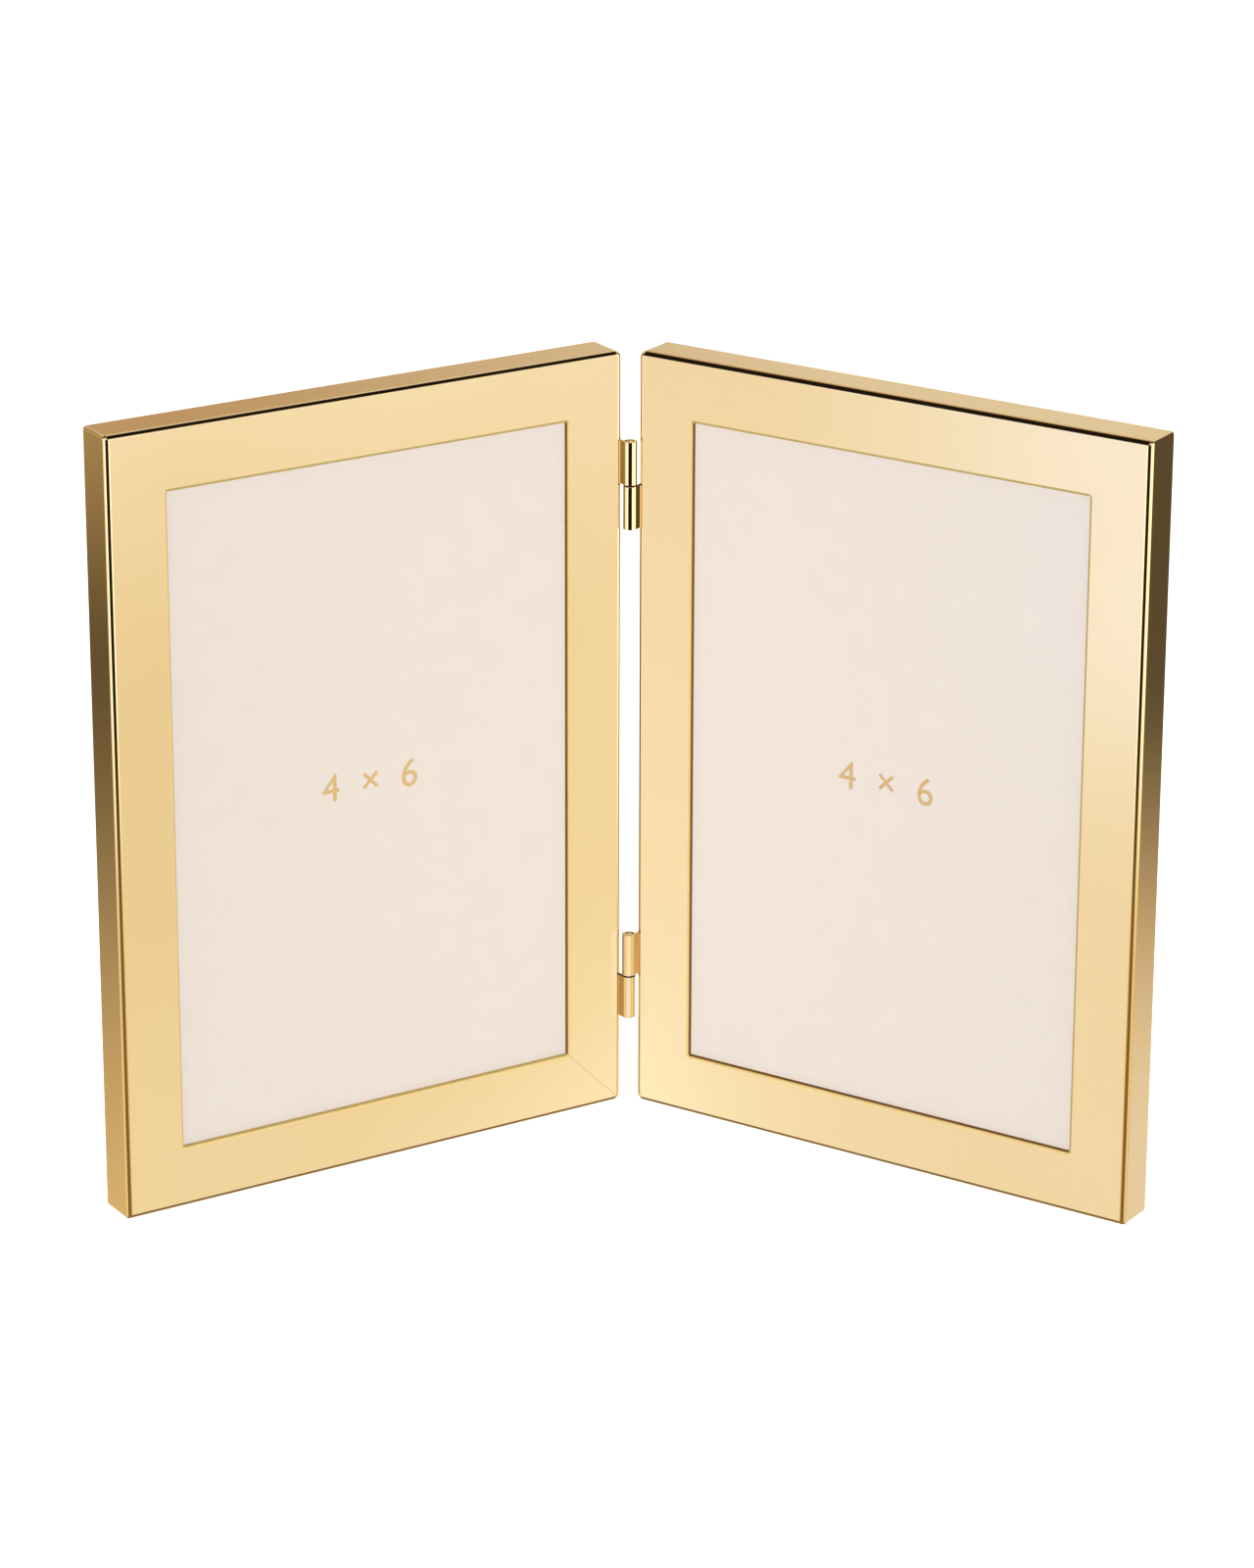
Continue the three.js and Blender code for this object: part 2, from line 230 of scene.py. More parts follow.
satin_brass, shader, coords = start_finish("satin brass")
ageing = noise(coords, AGED_SPOT, detail=4.0)
fill(shader, {
    "Metallic": 1.0,
    "Base Color": tone(ageing, "#B8914A", "#D9B566", dark_at=0.3, light_at=0.6),
    "Roughness": spread(ageing, start=0.38, end=0.24),
    "Normal": relief(noise(coords, TUMBLE_GRAIN, detail=2.0), TUMBLE_HEIGHT),
})

# nearly black brass: painted shade for the dark of the gaps at the joints
joint_shade_brass, shader, coords = start_finish("brass with painted joint shade")
painted_joint_shade = tone(noise(coords, JOINT_SHADE_PATCH, detail=3.0), "#1E1406", "#3C2A10")
fill(shader, {"Base Color": painted_joint_shade, "Metallic": 1.0, "Roughness": 0.45})
print("finishes:", satin_brass.name, "and", joint_shade_brass.name)

# %% [markdown]
# ## Picture glass
# Float glass is flat and clear, with a trace of green from the iron in it. Handling leaves an almost
# invisible film, so the gloss varies a little.

# %% Picture glass
FILM_PATCH = 18 * MM

picture_glass, shader, coords = start_finish("float glass")
fill(shader, {
    "Base Color": linear("#FCFFFD"),
    "Transmission Weight": 1.0,
    "IOR": 1.52,
    "Roughness": spread(noise(coords, FILM_PATCH, detail=3.0), start=0.0, end=0.02),
})
print("finish:", picture_glass.name)

# %% [markdown]
# ## Cream card and gold foil
# The insert is uncoated card: a matt sheet with a faint cloud of longer and shorter fibres, which gives
# it a tooth that light catches. The size mark on it is hot-pressed foil, a metal film that follows the
# tooth of the card, so it shines softly.

# %% Cream card and gold foil
FIBRE_WIDTH = 0.35 * MM  # real fibres are finer; this is the finest that still shows in a render
FIBRE_HEIGHT = 0.002 * MM
CLOUD_SIZE = 6 * MM

cream_card, shader, coords = start_finish("uncoated cream card")
clouds = noise(coords, CLOUD_SIZE, detail=6.0)
fill(shader, {
    "Roughness": 0.85,
    "Specular IOR Level": 0.25,
    "Base Color": tone(clouds, "#EEDED2", "#F0E0D4", dark_at=0.3, light_at=0.7),
    "Normal": relief(noise(coords, FIBRE_WIDTH, detail=3.0), FIBRE_HEIGHT),
})

gold_foil, shader, coords = start_finish("hot-pressed gold foil")
fibres = noise(coords, FIBRE_WIDTH, detail=2.0)
fill(shader, {
    "Metallic": 1.0,
    "Roughness": 0.42,
    "Base Color": tone(fibres, "#D9AE58", "#E6C072"),
    "Normal": relief(fibres, FIBRE_HEIGHT),
})
print("finishes:", cream_card.name, "and", gold_foil.name)

# %% [markdown]
# ## Grey board and fibreboard
# Behind the print lies a filler of grey board, pressed from recycled paper, which shows as dark and
# light flecks. The carcass and the back board are fine fibreboard, an even brown with short fibres.

# %% Grey board and fibreboard
FLECK_SIZE = 0.8 * MM
WOOD_FIBRE = 0.5 * MM
FLECK_HEIGHT = 0.02 * MM

boards = {}
for name, size, dark, light in (
    ("grey board", FLECK_SIZE, "#857D73", "#A79F93"),
    ("fine fibreboard", WOOD_FIBRE, "#8F6F4B", "#B4926A"),
):
    boards[name], shader, coords = start_finish(name)
    flecks = noise(coords, size, detail=5.0)
    fill(shader, {
        "Roughness": 0.9,
        "Base Color": tone(flecks, dark, light, dark_at=0.3, light_at=0.7),
        "Normal": relief(flecks, FLECK_HEIGHT, strength=0.6),
    })
print("finishes:", ", ".join(boards))

# %% [markdown]
# ## Suede
# The back is covered in brushed suede cloth. Its short nap lies this way and that where hands have
# stroked it, so broad patches look lighter or darker, and the tips of the fibres catch the light at a
# shallow angle. Sheen in the shader gives those tips. Two sizes of noise give the patches and the nap, and
# their mean gives the colour.

# %% Suede
NAP_SIZE = 0.45 * MM  # the nap is finer; this is the finest that still shows in a render
NAP_HEIGHT = 0.08 * MM
STROKE_PATCH = 16 * MM

suede, shader, coords = start_finish("brushed suede")
strokes = noise(coords, STROKE_PATCH, detail=4.0)
nap = noise(coords, NAP_SIZE, detail=4.0)
both = calculate(suede.node_tree, "ADD", strokes, nap)
mean = calculate(suede.node_tree, "MULTIPLY", both, 0.5)
fill(shader, {
    "Roughness": 0.95,
    "Sheen Weight": 0.5,
    "Sheen Roughness": 0.4,
    "Sheen Tint": linear("#EADCC8"),
    "Base Color": tone(mean, "#A38E74", "#C7B399", dark_at=0.35, light_at=0.65),
    "Normal": relief(nap, NAP_HEIGHT, strength=0.7),
})
print("finish:", suede.name)

# %% [markdown]
# ## From a drawing to a piece
# Every piece is drawn in millimetres in the axes of its leaf: x to the right, y from the face to the
# back, z up, from the middle of the face. A leaf stands turned about the upright hinge, so one matrix
# for each leaf carries its drawings to their place. The piece itself stays at the origin, because a
# pattern on Object coordinates has to stay put.
#
# A mirror shows every error in shading. Smooth shading bends the light over a rounded edge, but it also
# bends it over the flat next to it. A Weighted Normal modifier lets the large flat win.

# %% From a drawing to a piece
LEAF_WIDTH = 127.0
LEAF_HEIGHT = 177.8
LEAF_TURN = math.radians(32.8)
LEAF_MIDDLE = Vector((55.1085, -4.3562, 88.9))  # of the right leaf; the left one is its mirror image
SIDES = {"left": -1, "right": 1}
WELD = 1e-7  # metres
CREASE = math.radians(32)


def leaf_place(side):
    """The matrix that carries a drawing in millimetres to the left (-1) or right (1) leaf."""
    middle = Vector((side * LEAF_MIDDLE.x, LEAF_MIDDLE.y, LEAF_MIDDLE.z))
    turn = Matrix.Rotation(-side * LEAF_TURN, 4, "Z")
    return Matrix.Translation(middle * MM) @ turn @ Matrix.Scale(MM, 4)


def add_piece(name, shape, place, finish, body, stands_for=()):
    """Makes a bmesh drawing a piece that rides on a body, and hides the CAD nodes that it stands for."""
    bmesh.ops.transform(shape, matrix=place, verts=shape.verts)
    bmesh.ops.remove_doubles(shape, verts=shape.verts, dist=WELD)
    bmesh.ops.recalc_face_normals(shape, faces=shape.faces)
    mesh = bpy.data.meshes.new(name)
    shape.to_mesh(mesh)
    shape.free()
    mesh.materials.append(finish)
    mesh.shade_smooth()
    mesh.set_sharp_from_angle(angle=CREASE)
    piece = bpy.data.objects.new(name, mesh)
    bpy.context.scene.collection.objects.link(piece)
    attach(piece, body)
    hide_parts(*stands_for)
    return piece


def drawing_of(holder):
    """The bmesh drawing that a curve, a text or a mesh with a modifier comes to. The holder is removed."""
    bpy.context.scene.collection.objects.link(holder)
    finished = holder.evaluated_get(bpy.context.evaluated_depsgraph_get())
    solid = bpy.data.meshes.new_from_object(finished)
    shape = bmesh.new()
    shape.from_mesh(solid)
    bpy.data.objects.remove(holder)
    bpy.data.meshes.remove(solid)
    return shape


def arc(centre, radius, start, end, steps):
    """Points on an arc, from one angle in degrees to another."""
    angles = [math.radians(start + (end - start) * step / steps) for step in range(steps + 1)]
    return [(centre[0] + radius * math.cos(a), centre[1] + radius * math.sin(a)) for a in angles]


print("left leaf's middle:", [round(value, 4) for value in leaf_place(-1).translation])

# %% [markdown]
# ## Rails
# A rail is a strip of brass, folded to a face and an outer wall. Four rails are mitred, soldered and
# polished as one, so the corners of the leaf are a little round, and so are the corners of its opening,
# where solder fills them. Extruding the section and cutting its ends would leave those corners sharp.
# Here the section is swept instead. At the ends each of its points turns through half of the corner, on
# an arc about the corner's pivot. Points between the two corners run straight to the mitre.
#
# The front half of the opening's rounding takes a second finish, with a painted highlight, and the rest of
# it and the cuts take a third, with painted shade. On some rails one or both take a painted reflection
# instead. The photograph lights the cards evenly right up to the opening, so the rails throw no shade: they
# are left out of shadow and diffuse rays.

# %% Rails
RAIL_FACE = 14.3
RAIL_DEPTH = 10.0
RAIL_WALL = 1.0
FRONT_EDGE = 1.2
FRONT_STEPS = 14
OPENING_EDGE = 0.7
OPENING_STEPS = 6
BACK_EDGE = 0.4
BACK_STEPS = 6
OUTER_CORNER = 0.8
HINGE_CORNER = 1.6
OPENING_CORNER = 0.2
HALF_CORNER = math.radians(45)
CORNER_STEPS = 6
CLOSED_MITRE = 0.003  # polished over
OPEN_MITRE = 0.04  # the one joint that shows a hairline
OUTER_END = (OUTER_CORNER, CLOSED_MITRE)
HINGE_END = (HINGE_CORNER, CLOSED_MITRE)
HAIRLINE_END = (HINGE_CORNER, OPEN_MITRE)
POLISHED, ROUNDED, CUT = range(3)  # the order of a rail's finishes


def rail_section():
    """The section, as distance in from the outer wall and depth behind the face."""
    back = RAIL_DEPTH - BACK_EDGE
    return (
        arc((FRONT_EDGE, FRONT_EDGE), FRONT_EDGE, 180, 270, FRONT_STEPS)
        + arc((RAIL_FACE - OPENING_EDGE, OPENING_EDGE), OPENING_EDGE, 270, 360, OPENING_STEPS)
        + [(RAIL_FACE, RAIL_WALL), (RAIL_WALL, RAIL_WALL)]
        + arc((RAIL_WALL - BACK_EDGE, back), BACK_EDGE, 0, 90, BACK_STEPS)
        + arc((BACK_EDGE, back), BACK_EDGE, 90, 180, BACK_STEPS)
    )


def corner_pivot(inset, corner):
    """How far in from the outer wall the point lies about which a point of the section turns a corner."""
    if inset < corner:
        return corner
    if inset >= RAIL_FACE - OPENING_EDGE:
        return RAIL_FACE + OPENING_CORNER
    return inset


def rail_shape(span, low_end, high_end):
    """A rail along z. Each end is a corner radius and a gap left at the mitre."""
    section = rail_section()
    wall = section.index((RAIL_FACE, RAIL_WALL))
    cut = range(wall - OPENING_STEPS // 2, wall + 1)
    rounded = range(wall - OPENING_STEPS, cut.start)
    turns = [HALF_CORNER * step / CORNER_STEPS for step in range(CORNER_STEPS + 1)]
    shape = bmesh.new()
    stations = []
    for end, (corner, gap) in ((-1, low_end), (1, high_end)):
        for turn in turns if end > 0 else reversed(turns):
            ring = []
            for inset, depth in section:
                pivot = corner_pivot(inset, corner)
                radius = pivot - inset
                across = pivot - radius * math.cos(turn)
                along = span / 2 - pivot + radius * math.sin(turn) - gap
                ring.append(shape.verts.new((across, depth, end * along)))
            stations.append(ring)
    for ring, following in zip(stations, stations[1:]):
        for index in range(len(ring)):
            face = shape.faces.new((ring[index - 1], ring[index], following[index], following[index - 1]))
            face.material_index = ROUNDED if index in rounded else CUT if index in cut else POLISHED
    shape.faces.new(stations[0]).material_index = CUT
    shape.faces.new(reversed(stations[-1])).material_index = CUT
    return shape


RAIL_ENDS = {
    "left_top_rail": (OUTER_END, HINGE_END),
    "left_bottom_rail": (HAIRLINE_END, OUTER_END),
    "left_hinge_stile": (HINGE_END, HAIRLINE_END),
    "left_outer_stile": (OUTER_END, OUTER_END),
    "right_top_rail": (HINGE_END, OUTER_END),
    "right_bottom_rail": (OUTER_END, HINGE_END),
    "right_hinge_stile": (HINGE_END, HINGE_END),
    "right_outer_stile": (OUTER_END, OUTER_END),
}
# Finishes of the rounding and of the cuts: a painted highlight and painted shade, or a painted reflection.
EDGE_PAINTS = ("buffed edge", "waxed cut")
RAILS_WITH_PAINTED_REFLECTION = {
    "left_bottom_rail": ("buffed edge", "wiped edge"),
    "left_top_rail": ("wiped edge", "wiped edge"),
    "right_top_rail": ("wiped edge", "wiped edge"),
    "right_outer_stile": ("wiped edge", "wiped edge"),
}
for label, side in SIDES.items():
    hinge_turn = math.pi if side < 0 else 0
    for part, span, reach, turn in (
        ("top_rail", LEAF_WIDTH, LEAF_HEIGHT / 2, math.pi / 2),
        ("bottom_rail", LEAF_WIDTH, LEAF_HEIGHT / 2, -math.pi / 2),
        ("hinge_stile", LEAF_HEIGHT, LEAF_WIDTH / 2, hinge_turn),
        ("outer_stile", LEAF_HEIGHT, LEAF_WIDTH / 2, math.pi - hinge_turn),
    ):
        node = f"{label}_{part}"
        edge_of_leaf = Matrix.Translation((-reach * math.cos(turn), 0, reach * math.sin(turn)))
        place = leaf_place(side) @ edge_of_leaf @ Matrix.Rotation(turn, 4, "Y")
        rail = add_piece(
            f"{node}_polished", rail_shape(span, *RAIL_ENDS[node]), place, gold["polished gold plate"],
            f"{label}_leaf", [node],
        )
        # The rounding and the cuts take painted light: a highlight and shade, or a reflection.
        for finish in RAILS_WITH_PAINTED_REFLECTION.get(node, EDGE_PAINTS):
            rail.data.materials.append(edges[finish])
        rail.visible_shadow = False
        rail.visible_diffuse = False
        rail.modifiers.new("flats win", "WEIGHTED_NORMAL").keep_sharp = True
        print(rail.name, "has", len(rail.data.polygons), "faces")

# %% [markdown]
# ## Hinges
# Each half of a hinge is one strip of brass. It lies along the wall of its stile, comes forward and
# rolls round the pin. It is half as long as the hinge, and the other half fills the rest of the pin. The
# two halves are the same piece, one turned end for end. The drawing is the strip's section, a plate that
# ends in an open ring, run along the pin as a prism. A Bevel modifier then rounds every sharp edge, as
# tumbling does.

# %% Hinges
HINGE_AXIS = Vector((0, 30.326, 0))
HINGE_HEIGHTS = {"upper": 147.1, "lower": 30.7}
KNUCKLE_LENGTH = 9.95
KNUCKLE_GAP = 0.3
BARREL_RADIUS = 1.55
BORE_RADIUS = 0.85
ROLL_END = 63.15  # degrees, where the rolled strip comes back to its plate
PLATE_BACK = 7.7
TURN_STEPS = 48
TUMBLED_EDGE = 0.28
TUMBLED_STEPS = 4
OPEN_SIDE, STILE_SIDE, JOINT_END = range(3)  # the order of a half's finishes


def hinge_half_shape(knuckle_end):
    """Half a hinge round the z axis, on the side of the leaf at +x. Its knuckle is at +z or -z."""
    section = (
        arc((0, 0), BARREL_RADIUS, 360, ROLL_END, TURN_STEPS)
        + arc((0, 0), BORE_RADIUS, ROLL_END, 360, TURN_STEPS)
        + [(BORE_RADIUS, PLATE_BACK), (BARREL_RADIUS, PLATE_BACK)]
    )
    shape = bmesh.new()
    ends = []
    for height in (KNUCKLE_GAP / 2, KNUCKLE_GAP / 2 + KNUCKLE_LENGTH):
        ends.append([shape.verts.new((x, y, knuckle_end * height)) for x, y in section])
    near, far = ends
    for index in range(len(section)):
        face = shape.faces.new((near[index - 1], near[index], far[index], far[index - 1]))
        face.material_index = STILE_SIDE if index == 0 else OPEN_SIDE
    shape.faces.new(near).material_index = JOINT_END
    shape.faces.new(far)
    return shape


for label, height in HINGE_HEIGHTS.items():
    axis = Matrix.Translation((HINGE_AXIS + Vector((0, 0, height))) * MM)
    right_knuckle = -1 if label == "upper" else 1
    for side_label, side in SIDES.items():
        end_for_end = Matrix.Rotation(math.pi if side < 0 else 0, 4, "Y")
        place = axis @ Matrix.Rotation(-side * LEAF_TURN, 4, "Z") @ end_for_end @ Matrix.Scale(MM, 4)
        node = f"{label}_hinge_{side_label}_half"
        half = add_piece(
            f"{node}_polished", hinge_half_shape(right_knuckle), place, gold["polished gold plate"],
            f"{side_label}_leaf", [node],
        )
        # The plate's side by the stile takes the deeper gold, a painted reflection of the stile.
        half.data.materials.append(gold["gold with painted reflection"])
        # The end at the joint takes painted shade, for the dark of the gap.
        half.data.materials.append(joint_shade_brass)
        rounding = half.modifiers.new("tumbled edges", "BEVEL")
        rounding.width = TUMBLED_EDGE * MM
        rounding.segments = TUMBLED_STEPS
        rounding.angle_limit = CREASE
        rounding.harden_normals = True
        print(half.name, "has", len(half.data.polygons), "faces")

# %% [markdown]
# ## Hinge pins
# A pin is turned on a lathe, so half of its outline is enough: Blender's spin turns that round the axis.
# Its ends are set with a punch, which leaves them slightly domed, and are polished and plated with the
# hinge.

# %% Hinge pins
PIN_RADIUS = 0.79
PIN_LENGTH = 2 * KNUCKLE_LENGTH + KNUCKLE_GAP
PIN_DOME = 0.3
DOME_STEPS = 6
SHAFT, DOME = range(2)  # the order of a pin's finishes


def pin_shape():
    """A pin along z with domed ends."""
    dome_foot = PIN_LENGTH / 2 - PIN_DOME
    quarter = arc((0, 0), 1, 0, 90, DOME_STEPS)
    top = [(PIN_RADIUS * across, dome_foot + PIN_DOME * up) for across, up in quarter]
    outline = [(radius, -height) for radius, height in reversed(top)] + top
    shape = bmesh.new()
    points = [shape.verts.new((radius, 0, height)) for radius, height in outline]
    lines = [shape.edges.new(pair) for pair in zip(points, points[1:])]
    bmesh.ops.spin(
        shape, geom=points + lines, axis=(0, 0, 1), cent=(0, 0, 0), angle=2 * math.pi, steps=TURN_STEPS
    )
    for face in shape.faces:
        face.material_index = DOME if abs(face.calc_center_median().z) > dome_foot else SHAFT
    return shape


for label, height in HINGE_HEIGHTS.items():
    node = f"{label}_hinge_pin"
    place = Matrix.Translation((HINGE_AXIS + Vector((0, 0, height))) * MM) @ Matrix.Scale(MM, 4)
    # The shaft takes painted shade, for the dark of the joint; the domed ends take the gold plate.
    pin = add_piece(
        f"{node}_turned", pin_shape(), place, joint_shade_brass, "left_leaf", [node]
    )
    pin.data.materials.append(gold["polished gold plate"])
    print(pin.name, "has", len(pin.data.polygons), "faces")

# %% [markdown]
# ## Panes, cards and boards
# The flat layers behind the opening are right as they are: sheets with cut edges. They stay CAD nodes,
# and only their finish changes. Clear glass lets daylight through to the card, but a renderer finds the
# light behind a refracting pane only by chance, so the pane is left out of shadow and diffuse rays.

# %% Panes, cards and boards
LAYER_FINISHES = {
    "glass": picture_glass,
    "photo_card": cream_card,
    "filler_card": boards["grey board"],
    "back_board": boards["fine fibreboard"],
    "carcass": boards["fine fibreboard"],
}
for label in SIDES:
    for layer, finish in LAYER_FINISHES.items():
        for material_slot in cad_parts[f"{label}_{layer}"].material_slots:
            material_slot.material = finish
    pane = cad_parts[f"{label}_glass"]
    pane.visible_shadow = False
    pane.visible_diffuse = False
print("layers with a finish:", ", ".join(LAYER_FINISHES))

# %% [markdown]
# ## Stamped plates
# Turn buttons and suede skins are both flat shapes cut from a sheet. A 2D curve is the short way to one:
# it fills an outline with its holes, gives it a thickness and rounds its edges. It is made a mesh before
# it goes to its place.

# %% Stamped plates
PLATE_EDGE_POINTS = 2


def stamped_plate(outlines, thickness, edge):
    """A plate from its outline and its holes, drawn as x and z, that lies from y = -thickness to 0."""
    drawing = bpy.data.curves.new("outline", "CURVE")
    drawing.dimensions = "2D"
    drawing.fill_mode = "BOTH"
    drawing.extrude = thickness / 2 - edge
    drawing.bevel_depth = edge
    drawing.bevel_resolution = PLATE_EDGE_POINTS
    drawing.offset = -edge
    for outline in outlines:
        spline = drawing.splines.new("POLY")
        spline.points.add(len(outline) - 1)
        spline.use_cyclic_u = True
        for point, (x, z) in zip(spline.points, outline):
            point.co = (x, z, 0, 1)
    shape = drawing_of(bpy.data.objects.new("outline", drawing))
    upright = Matrix.Translation((0, -thickness / 2, 0)) @ Matrix.Rotation(math.pi / 2, 4, "X")
    bmesh.ops.transform(shape, matrix=upright, verts=shape.verts)
    return shape


print("plates are cut from outlines")

# %% [markdown]
# ## Turn buttons
# Four small brass tongues hold the board in. Each has a round heel on its screw and a smaller round tip
# over the board, and turns aside to free it. A button is a body of its own in the frame, so each one is
# a piece that rides on that body.

# %% Turn buttons
BUTTON_THICKNESS = 0.7
BUTTON_BACK = 9.0
BUTTON_PIVOT = 56.75
BUTTON_SPACING = 90.0
BUTTON_HEEL = 3.0
BUTTON_TIP = 2.2
BUTTON_TIP_CENTRE = 8.35
BUTTON_HOLE = 1.25
HEEL_STEPS = 28
TIP_STEPS = 20
HOLE_STEPS = 24
STAMPED_EDGE = 0.16


def button_outline():
    """The outline of a button from its pivot along +x, and its hole."""
    tangent = math.degrees(math.acos((BUTTON_HEEL - BUTTON_TIP) / BUTTON_TIP_CENTRE))
    heel = arc((0, 0), BUTTON_HEEL, tangent, 360 - tangent, HEEL_STEPS)
    tip = arc((BUTTON_TIP_CENTRE, 0), BUTTON_TIP, -tangent, tangent, TIP_STEPS)
    hole = arc((0, 0), BUTTON_HOLE, 0, 360, HOLE_STEPS)[:-1]
    return [heel + tip, hole]


def button_places(side):
    """The name, the column (-1 or 1) and the pivot, as x and z, of each turn button of a leaf."""
    for column in (-1, 1):
        edge = "hinge" if column == -side else "outer"
        for row, level in ((-1, "lower"), (1, "upper")):
            yield f"{edge}_{level}", column, column * BUTTON_PIVOT, row * BUTTON_SPACING / 2


for label, side in SIDES.items():
    for spot, column, x, z in button_places(side):
        facing = Matrix.Rotation(math.pi if column > 0 else 0, 4, "Y")
        place = leaf_place(side) @ Matrix.Translation((x, BUTTON_BACK, z)) @ facing
        shape = stamped_plate(button_outline(), BUTTON_THICKNESS, STAMPED_EDGE)
        button = add_piece(
            f"{label}_{spot}_button_stamped", shape, place, satin_brass, f"{label}_{spot}_button",
            [f"{label}_{spot}_turn_button"],
        )
        print(button.name, "has", len(button.data.polygons), "faces")

# %% [markdown]
# ## Screws
# Eight screws are the same slotted round head, so one Geometry Nodes tree draws the screw and puts it on
# points. The head starts as a flat disc of rings, whose points are lifted into a dome: at the distance r
# from the axis the dome stands at the height of a flattened circle. A bar cut out of the dome makes the
# slot. The points carry the turn of each screw, because no fitter leaves all slots the same way.

# %% Screws
SCREW_SIZES = {
    "Head radius": 2.0,
    "Rim height": 0.25,
    "Dome height": 0.55,
    "Slot width": 0.5,
    "Slot depth": 0.42,
    "Shank radius": 1.1,
    "Shank length": 5.6,
}
HEAD_SIDES = 40
HEAD_RINGS = 8

screws_tree = bpy.data.node_groups.new("slotted screws", "GeometryNodeTree")
screws_tree.interface.new_socket("Points", in_out="INPUT", socket_type="NodeSocketGeometry")
for name in SCREW_SIZES:
    screws_tree.interface.new_socket(name, in_out="INPUT", socket_type="NodeSocketFloat")
screws_tree.interface.new_socket("Finish", in_out="INPUT", socket_type="NodeSocketMaterial")
screws_tree.interface.new_socket("Screws", in_out="OUTPUT", socket_type="NodeSocketGeometry")
sizes = add_node(screws_tree, "NodeGroupInput").outputs

disc = add_node(screws_tree, "GeometryNodeMeshCylinder", {
    "Vertices": HEAD_SIDES,
    "Fill Segments": HEAD_RINGS,
    "Radius": sizes["Head radius"],
    "Depth": sizes["Rim height"],
})
position = add_node(screws_tree, "GeometryNodeInputPosition").outputs[0]
where = add_node(screws_tree, "ShaderNodeSeparateXYZ", {0: position}).outputs
flat_place = vector(screws_tree, X=where["X"], Y=where["Y"])
from_axis = add_node(screws_tree, "ShaderNodeVectorMath", {0: flat_place}, operation="LENGTH")
share = calculate(screws_tree, "DIVIDE", from_axis.outputs["Value"], sizes["Head radius"])
squared = calculate(screws_tree, "POWER", share, 2.0)
rest = calculate(screws_tree, "SUBTRACT", 1.0, squared, use_clamp=True)
circle = calculate(screws_tree, "SQRT", rest)
lift = calculate(screws_tree, "MULTIPLY", circle, sizes["Dome height"])
on_top = add_node(screws_tree, "FunctionNodeCompare", {0: where["Z"], 1: 0.0}, operation="GREATER_THAN")
head = add_node(screws_tree, "GeometryNodeSetPosition", {
    "Geometry": disc.outputs["Mesh"],
    "Selection": on_top.outputs[0],
    "Offset": vector(screws_tree, Z=lift),
})
print("the head is domed")

# %% [markdown]
# The bar for the slot is longer than the head is wide, and twice as high as the slot is deep, so that its
# middle can sit level with the top of the dome. The shank is a plain cylinder: it is inside the wood.

# %% Slot, shank and points
BAR_REACH = 3.0  # times the radius of the head
SHANK_SIDES = 24

bar_length = calculate(screws_tree, "MULTIPLY", sizes["Head radius"], BAR_REACH)
bar_height = calculate(screws_tree, "MULTIPLY", sizes["Slot depth"], 2.0)
bar_size = vector(screws_tree, X=bar_length, Y=sizes["Slot width"], Z=bar_height)
dome_top = calculate(screws_tree, "MULTIPLY_ADD", sizes["Rim height"], 0.5, sizes["Dome height"])
bar = add_node(screws_tree, "GeometryNodeTransform", {
    "Geometry": add_node(screws_tree, "GeometryNodeMeshCube", {"Size": bar_size}).outputs["Mesh"],
    "Translation": vector(screws_tree, Z=dome_top),
})
slotted = add_node(
    screws_tree, "GeometryNodeMeshBoolean",
    {"Mesh 1": head.outputs["Geometry"], "Mesh 2": bar.outputs["Geometry"]}, operation="DIFFERENCE",
)
cylinder = add_node(screws_tree, "GeometryNodeMeshCylinder", {
    "Vertices": SHANK_SIDES,
    "Radius": sizes["Shank radius"],
    "Depth": sizes["Shank length"],
})
shank_middle = calculate(screws_tree, "MULTIPLY", sizes["Shank length"], -0.5)
shank = add_node(screws_tree, "GeometryNodeTransform", {
    "Geometry": cylinder.outputs["Mesh"],
    "Translation": vector(screws_tree, Z=shank_middle),
})
screw = add_node(screws_tree, "GeometryNodeJoinGeometry", {"Geometry": slotted.outputs["Mesh"]})
fill(screw, {"Geometry": shank.outputs["Geometry"]})
turns = add_node(screws_tree, "GeometryNodeInputNamedAttribute", {"Name": "turn"}, data_type="FLOAT_VECTOR")
on_points = add_node(screws_tree, "GeometryNodeInstanceOnPoints", {
    "Points": sizes["Points"],
    "Instance": screw.outputs["Geometry"],
    "Rotation": turns.outputs["Attribute"],
})
realized = add_node(screws_tree, "GeometryNodeRealizeInstances", {"Geometry": on_points.outputs["Instances"]})
coloured = add_node(screws_tree, "GeometryNodeSetMaterial", {
    "Geometry": realized.outputs["Geometry"],
    "Material": sizes["Finish"],
})
add_node(screws_tree, "NodeGroupOutput", {"Screws": coloured.outputs["Geometry"]})
print("the tree has", len(screws_tree.nodes), "nodes")

# %% [markdown]
# The four screws of a leaf are one mesh, since they ride on one body. A mesh of four points carries the
# modifier, its inputs are set by their identifiers, and the result becomes a plain mesh.

# %% Set the screws
SCREW_SEAT = 9.15  # depth of the underside of the head
SLOT_TURNS = (12, 148, 71, 35)  # degrees

